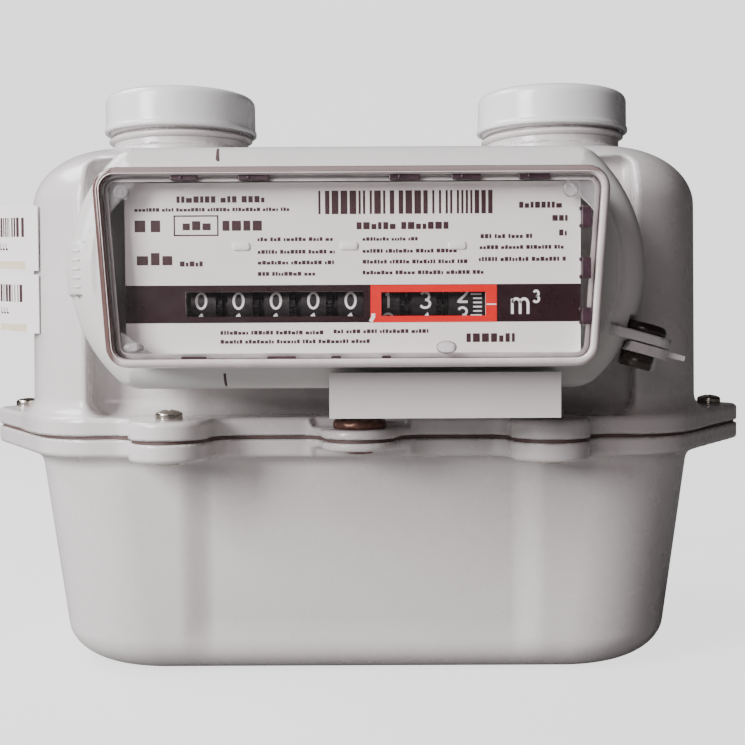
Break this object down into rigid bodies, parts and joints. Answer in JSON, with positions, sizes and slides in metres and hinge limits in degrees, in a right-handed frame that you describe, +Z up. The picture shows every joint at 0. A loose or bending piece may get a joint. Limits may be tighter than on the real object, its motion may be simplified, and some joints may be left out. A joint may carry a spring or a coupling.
{
  "type": "gas meter",
  "caption": "Domestic diaphragm gas meter: flanged two-part cast casing, two capped top connections, and a roller counter behind a clear cover.",
  "frame": {"origin": "on the base plane, midway between the two pipe connections", "axes": "+X from the left (inlet) to the right (outlet) connection seen from the front, -Y to the front (counter side), +Z up along the connections"},
  "size_m": [0.22, 0.1695, 0.1595],
  "materials": {
    "casing_paint": "semi-gloss grey enamel over cast aluminium",
    "cap_plastic": "satin",
    "index_plastic": "satin",
    "module_plastic": "satin",
    "clear_cover": "polished",
    "label_card": "satin print",
    "sticker_paper": "matte print",
    "wheel_plastic": "satin",
    "white_nylon": "matte",
    "mechanism_steel": "brushed",
    "plated_screws": "plated",
    "seal_rubber": "matte",
    "seal_wax": "oxidised",
    "dark_seal": "matte",
    "gland_brass": "turned",
    "unit_plastic": "matte",
    "diaphragm_rubber": "coated fabric"
  },
  "bodies": {
    "casing": {"lower_casing": "casing_paint", "upper_casing": "casing_paint", "casing_gasket": "seal_rubber", "flange_screws": "plated_screws", "casing_seal": "seal_wax", "index_housing": "index_plastic", "index_gasket": "seal_rubber", "index_screws": "plated_screws", "index_cover": "clear_cover", "label_plate": "label_card", "counter_frame": "mechanism_steel", "pinion_shaft": "mechanism_steel", "shaft_gland": "gland_brass", "pulse_module": "module_plastic", "seal_bracket": "casing_paint", "index_seal": "dark_seal", "side_labels": "sticker_paper", "measuring_body": "unit_plastic", "front_chamber_cover": "unit_plastic", "rear_chamber_cover": "unit_plastic", "valve_plate": "white_nylon", "crank_bracket": "mechanism_steel", "outlet_duct": "white_nylon", "duct_seal": "seal_rubber"},
    "inlet_cap_body": {"inlet_cap": "cap_plastic"},
    "outlet_cap_body": {"outlet_cap": "cap_plastic"},
    "counter_drive": {"counter_shaft": "mechanism_steel", "number_wheel_8": "wheel_plastic", "drive_pinion": "white_nylon"},
    "wheel_1": {"number_wheel_1": "wheel_plastic"},
    "wheel_2": {"number_wheel_2": "wheel_plastic"},
    "wheel_3": {"number_wheel_3": "wheel_plastic"},
    "wheel_4": {"number_wheel_4": "wheel_plastic"},
    "wheel_5": {"number_wheel_5": "wheel_plastic"},
    "wheel_6": {"number_wheel_6": "wheel_plastic"},
    "wheel_7": {"number_wheel_7": "wheel_plastic"},
    "pinion_1": {"transfer_pinion_1": "white_nylon"},
    "pinion_2": {"transfer_pinion_2": "white_nylon"},
    "pinion_3": {"transfer_pinion_3": "white_nylon"},
    "pinion_4": {"transfer_pinion_4": "white_nylon"},
    "pinion_5": {"transfer_pinion_5": "white_nylon"},
    "pinion_6": {"transfer_pinion_6": "white_nylon"},
    "pinion_7": {"transfer_pinion_7": "white_nylon"},
    "crown": {"crown_gear": "white_nylon", "output_gear": "white_nylon"},
    "idler": {"idler_gear": "white_nylon"},
    "drive_train": {"input_gear": "white_nylon", "drive_shaft": "mechanism_steel", "worm_wheel": "white_nylon"},
    "crank_body": {"crank": "mechanism_steel", "rotary_valve": "white_nylon"},
    "front_flag": {"front_flag_rod": "mechanism_steel"},
    "rear_flag": {"rear_flag_rod": "mechanism_steel"},
    "front_link_body": {"front_link": "mechanism_steel"},
    "rear_link_body": {"rear_link": "mechanism_steel"},
    "front_pan_body": {"front_pan": "mechanism_steel", "front_diaphragm": "diaphragm_rubber"},
    "rear_pan_body": {"rear_pan": "mechanism_steel", "rear_diaphragm": "diaphragm_rubber"}
  },
  "joints": [
    {"name": "inlet_cap_lift", "type": "slide", "parent": "casing", "child": "inlet_cap_body", "axis": [0, 0, 1], "range_m": [0, 0.03]},
    {"name": "outlet_cap_lift", "type": "slide", "parent": "casing", "child": "outlet_cap_body", "axis": [0, 0, 1], "range_m": [0, 0.03]},
    {"name": "counter_spin", "type": "hinge", "parent": "casing", "child": "counter_drive", "pos_m": [0.038, -0.0813, 0.0957], "axis": [-1, 0, 0], "continuous": true},
    {"name": "wheel_7_spin", "type": "hinge", "parent": "casing", "child": "wheel_7", "pos_m": [0.016, -0.0813, 0.0957], "axis": [-1, 0, 0], "continuous": true},
    {"name": "pinion_7_spin", "type": "hinge", "parent": "casing", "child": "pinion_7", "pos_m": [0.02, -0.0723, 0.0957], "axis": [-1, 0, 0], "continuous": true},
    {"name": "wheel_6_spin", "type": "hinge", "parent": "casing", "child": "wheel_6", "pos_m": [0.0077, -0.0813, 0.0957], "axis": [-1, 0, 0], "continuous": true},
    {"name": "pinion_6_spin", "type": "hinge", "parent": "casing", "child": "pinion_6", "pos_m": [0.0117, -0.0723, 0.0957], "axis": [-1, 0, 0], "continuous": true},
    {"name": "wheel_5_spin", "type": "hinge", "parent": "casing", "child": "wheel_5", "pos_m": [-0.0006, -0.0813, 0.0957], "axis": [-1, 0, 0], "continuous": true},
    {"name": "pinion_5_spin", "type": "hinge", "parent": "casing", "child": "pinion_5", "pos_m": [0.0034, -0.0723, 0.0957], "axis": [-1, 0, 0], "continuous": true},
    {"name": "wheel_4_spin", "type": "hinge", "parent": "casing", "child": "wheel_4", "pos_m": [-0.0089, -0.0813, 0.0957], "axis": [-1, 0, 0], "continuous": true},
    {"name": "pinion_4_spin", "type": "hinge", "parent": "casing", "child": "pinion_4", "pos_m": [-0.0049, -0.0723, 0.0957], "axis": [-1, 0, 0], "continuous": true},
    {"name": "wheel_3_spin", "type": "hinge", "parent": "casing", "child": "wheel_3", "pos_m": [-0.0172, -0.0813, 0.0957], "axis": [-1, 0, 0], "continuous": true},
    {"name": "pinion_3_spin", "type": "hinge", "parent": "casing", "child": "pinion_3", "pos_m": [-0.0132, -0.0723, 0.0957], "axis": [-1, 0, 0], "continuous": true},
    {"name": "wheel_2_spin", "type": "hinge", "parent": "casing", "child": "wheel_2", "pos_m": [-0.0255, -0.0813, 0.0957], "axis": [-1, 0, 0], "continuous": true},
    {"name": "pinion_2_spin", "type": "hinge", "parent": "casing", "child": "pinion_2", "pos_m": [-0.0215, -0.0723, 0.0957], "axis": [-1, 0, 0], "continuous": true},
    {"name": "wheel_1_spin", "type": "hinge", "parent": "casing", "child": "wheel_1", "pos_m": [-0.0338, -0.0813, 0.0957], "axis": [-1, 0, 0], "continuous": true},
    {"name": "pinion_1_spin", "type": "hinge", "parent": "casing", "child": "pinion_1", "pos_m": [-0.0298, -0.0723, 0.0957], "axis": [-1, 0, 0], "continuous": true},
    {"name": "crown_spin", "type": "hinge", "parent": "casing", "child": "crown", "pos_m": [0.05, -0.05, 0.0957], "axis": [0, 1, 0], "continuous": true},
    {"name": "idler_spin", "type": "hinge", "parent": "casing", "child": "idler", "pos_m": [0.0324, -0.05, 0.0957], "axis": [0, 1, 0], "continuous": true},
    {"name": "drive_spin", "type": "hinge", "parent": "casing", "child": "drive_train", "pos_m": [0.0116, 0, 0.0957], "axis": [0, 1, 0], "continuous": true},
    {"name": "crank_spin", "type": "hinge", "parent": "casing", "child": "crank_body", "pos_m": [0, 0, 0.0957], "axis": [0, 0, 1], "continuous": true},
    {"name": "front_flag_swing", "type": "hinge", "parent": "casing", "child": "front_flag", "pos_m": [-0.062, -0.011, 0.064], "axis": [0, 0, -1], "range_deg": [-9.8, 9.8]},
    {"name": "front_link_swing", "type": "hinge", "parent": "front_flag", "child": "front_link_body", "pos_m": [-0.03, -0.028, 0.109], "axis": [0, 0, -1], "range_deg": [-9.8, 9.8]},
    {"name": "front_pan_slide", "type": "slide", "parent": "casing", "child": "front_pan_body", "axis": [0, -1, 0], "range_m": [-0.0076, 0.0076]},
    {"name": "rear_flag_swing", "type": "hinge", "parent": "casing", "child": "rear_flag", "pos_m": [-0.062, 0.011, 0.064], "axis": [0, 0, 1], "range_deg": [-9.8, 9.8]},
    {"name": "rear_link_swing", "type": "hinge", "parent": "rear_flag", "child": "rear_link_body", "pos_m": [-0.03, 0.028, 0.109], "axis": [0, 0, 1], "range_deg": [-9.8, 9.8]},
    {"name": "rear_pan_slide", "type": "slide", "parent": "casing", "child": "rear_pan_body", "axis": [0, 1, 0], "range_m": [-0.0076, 0.0076]}
  ],
  "couplings": [
    {"joint": "wheel_7_spin", "follows": "counter_spin", "ratio": 0.1},
    {"joint": "pinion_7_spin", "follows": "counter_spin", "ratio": -0.25},
    {"joint": "wheel_6_spin", "follows": "counter_spin", "ratio": 0.01},
    {"joint": "pinion_6_spin", "follows": "counter_spin", "ratio": -0.025},
    {"joint": "wheel_5_spin", "follows": "counter_spin", "ratio": 0.001},
    {"joint": "pinion_5_spin", "follows": "counter_spin", "ratio": -0.0025},
    {"joint": "wheel_4_spin", "follows": "counter_spin", "ratio": 0.0001},
    {"joint": "pinion_4_spin", "follows": "counter_spin", "ratio": -0.00025},
    {"joint": "wheel_3_spin", "follows": "counter_spin", "ratio": 0.00001},
    {"joint": "pinion_3_spin", "follows": "counter_spin", "ratio": -0.000025},
    {"joint": "wheel_2_spin", "follows": "counter_spin", "ratio": 0.000001},
    {"joint": "pinion_2_spin", "follows": "counter_spin", "ratio": -0.0000025},
    {"joint": "wheel_1_spin", "follows": "counter_spin", "ratio": 0.0000001},
    {"joint": "pinion_1_spin", "follows": "counter_spin", "ratio": -0.00000025},
    {"joint": "crown_spin", "follows": "counter_spin", "ratio": -0.58333},
    {"joint": "idler_spin", "follows": "counter_spin", "ratio": 0.48611},
    {"joint": "drive_spin", "follows": "counter_spin", "ratio": -0.41667},
    {"joint": "crank_spin", "follows": "counter_spin", "ratio": 8.3333},
    {"joint": "front_link_swing", "follows": "front_flag_swing", "ratio": -1},
    {"joint": "front_pan_slide", "follows": "front_flag_swing", "m_per_rad": 0.0438},
    {"joint": "rear_link_swing", "follows": "rear_flag_swing", "ratio": -1},
    {"joint": "rear_pan_slide", "follows": "rear_flag_swing", "m_per_rad": 0.0438}
  ]
}
